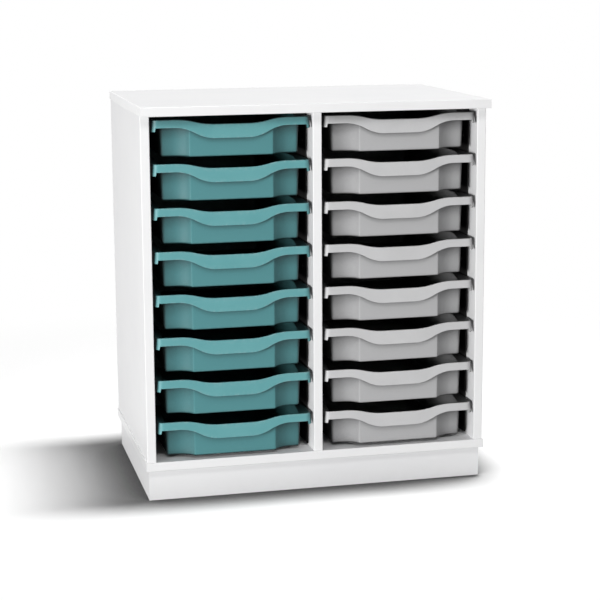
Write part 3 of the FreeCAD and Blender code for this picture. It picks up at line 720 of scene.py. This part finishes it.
studio = {
    "floor": (0.90, 0.90, 0.90),
    "floorReach": 9.0,                  # half the floor's side
    "paintedContactShadow": (0.20, 0.20, 0.20),      # painted shadow: the floor's colour right at the plinth's foot
    "contactReach": 0.13,
    "paintedShadowOpen": 0.45,                # openness up to which the floor keeps the painted contact shadow's colour
    "floorBounce": (0.42, 0.42, 0.42),  # floor as the object sees it
    "fade": (0.8, 2.9),                 # squared distances over which the floor turns plain white
    "ambient": 0.10,
    # each lamp's place, what it is aimed at, its width and height, and its power in watts
    "lamps": {
        "top": ((0.0, 0.3, 6.5), (0, 0, 0.4), 1.5, 2.0, 222),
        "key": ((-0.2, -2.6, 2.9), (0, -0.2, 0.45), 1.8, 0.9, 32),
        "fill": ((1.0, -3.2, 0.35), (0, -0.2, 0.45), 2.2, 0.6, 11),
        "cross": ((-3.8, -2.7, 0.6), (0, -0.2, 0.42), 2.0, 0.8, 177),
        "back": ((2.6, 2.2, 1.1), (0.2, 0.1, 0.4), 1.6, 1.2, 95),
        "floorOnly": ((0.97, -0.08, 6.5), (0, 0, 0.4), 0.8, 2.0, 470),
    },
}


def makeFloor():
    # A pale floor with a painted contact shadow, darker close to the object, and plain white farther off.
    mesh = bpy.data.meshes.new("floor")
    reach = studio["floorReach"]
    corners = [(-reach, -reach, 0), (reach, -reach, 0), (reach, reach, 0), (-reach, reach, 0)]
    mesh.from_pydata(corners, [], [(0, 1, 2, 3)])
    floor = bpy.data.objects.new("floor", mesh)
    bpy.context.scene.collection.objects.link(floor)
    finish = Finish("pale floor")
    faded = (finish.x * finish.x + finish.y * finish.y).step(*studio["fade"])
    seen = finish.node("ShaderNodeLightPath", output="Is Camera Ray")
    seen = seen.math("MAXIMUM", seen, finish.node("ShaderNodeLightPath", output="Is Glossy Ray"))
    # painted shadow: the floor's colour darkens where the object is near
    clear = finish.openness(studio["contactReach"], 12).step(studio["paintedShadowOpen"], 1.0)
    shown = finish.blend(clear, studio["paintedContactShadow"], studio["floor"])
    colour = finish.blend(seen, studio["floorBounce"], shown)
    plain = finish.node("ShaderNodeBsdfDiffuse", sockets={"Color": colour})
    glow = finish.node("ShaderNodeEmission", sockets={"Color": (1, 1, 1), "Strength": 1.0})
    ground = finish.node("ShaderNodeMixShader", sockets={0: faded * seen, 1: plain, 2: glow})
    finish.links.new(ground.socket, finish.nodes["Material Output"].inputs["Surface"])
    mesh.materials.append(finish.material)
    return floor


def makeWorld():
    # Soft light from all round; the camera and reflections see plain white.
    world = bpy.data.worlds.new("studio")
    world.use_nodes = True
    bpy.context.scene.world = world
    nodes, links = world.node_tree.nodes, world.node_tree.links
    light, white = nodes["Background"], nodes.new("ShaderNodeBackground")
    for background, strength in ((light, studio["ambient"]), (white, 1.0)):
        background.inputs["Color"].default_value = (1, 1, 1, 1)
        background.inputs["Strength"].default_value = strength
    path = nodes.new("ShaderNodeLightPath")
    seen = path.outputs["Is Camera Ray"]
    for kind in ("Is Transmission Ray", "Is Glossy Ray"):
        either = nodes.new("ShaderNodeMath")
        either.operation = "MAXIMUM"
        links.new(seen, either.inputs[0])
        links.new(path.outputs[kind], either.inputs[1])
        seen = either.outputs[0]
    mixed = nodes.new("ShaderNodeMixShader")
    for place, source in enumerate((seen, light.outputs[0], white.outputs[0])):
        links.new(source, mixed.inputs[place])
    links.new(mixed.outputs[0], nodes["World Output"].inputs["Surface"])


def makeLamp(name, floor, place, aim, width, height, power):
    # The floor has a lamp of its own, and the others light all but the floor.
    lamp = bpy.data.lights.new(name, "AREA")
    lamp.shape = "ELLIPSE"
    lamp.size = width
    lamp.size_y = height
    lamp.energy = power
    holder = bpy.data.objects.new(name, lamp)
    holder.location = place
    holder.rotation_euler = (Vector(aim) - Vector(place)).to_track_quat("-Z", "Y").to_euler()
    holder.visible_camera = False
    reach = bpy.data.collections.new(name + "Reach")
    reach.objects.link(floor)
    reach.collection_objects[0].light_linking.link_state = "INCLUDE" if name == "floorOnly" else "EXCLUDE"
    holder.light_linking.receiver_collection = reach
    bpy.context.scene.collection.objects.link(holder)


view = {
    "place": (-0.787, -3.3435, 1.034),
    "yaw": 13.46,      # turned to the right of straight ahead
    "pitch": 10.24,    # tipped down
    "roll": -0.35,
    "focal": 1664,     # pixels in a 600 pixel frame
    "frame": 600,
    "sensor": 36,      # millimetres
    "rise": -0.05,     # lens shift in frame widths
    "farthest": 60,    # metres that the camera sees
}


def makeCamera():
    yaw, pitch, roll = (math.radians(view[key]) for key in ("yaw", "pitch", "roll"))
    ahead = Vector((math.sin(yaw) * math.cos(pitch), math.cos(yaw) * math.cos(pitch), -math.sin(pitch)))
    level = Vector((math.cos(yaw), -math.sin(yaw), 0))
    upright = level.cross(ahead)
    right = level * math.cos(roll) + upright * math.sin(roll)
    up = upright * math.cos(roll) - level * math.sin(roll)
    lens = bpy.data.cameras.new("camera")
    lens.sensor_width = view["sensor"]
    lens.lens = view["focal"] / view["frame"] * lens.sensor_width
    lens.shift_y = view["rise"]
    lens.clip_end = view["farthest"]
    camera = bpy.data.objects.new("camera", lens)
    turned = Matrix((right, up, -ahead)).transposed().to_4x4()
    camera.matrix_world = Matrix.Translation(view["place"]) @ turned
    bpy.context.scene.collection.objects.link(camera)
    bpy.context.scene.camera = camera


floor = makeFloor()
makeWorld()
for name, lamp in studio["lamps"].items():
    makeLamp(name, floor, *lamp)
makeCamera()
bpy.context.scene.view_settings.view_transform = "Standard"
print("studio set")
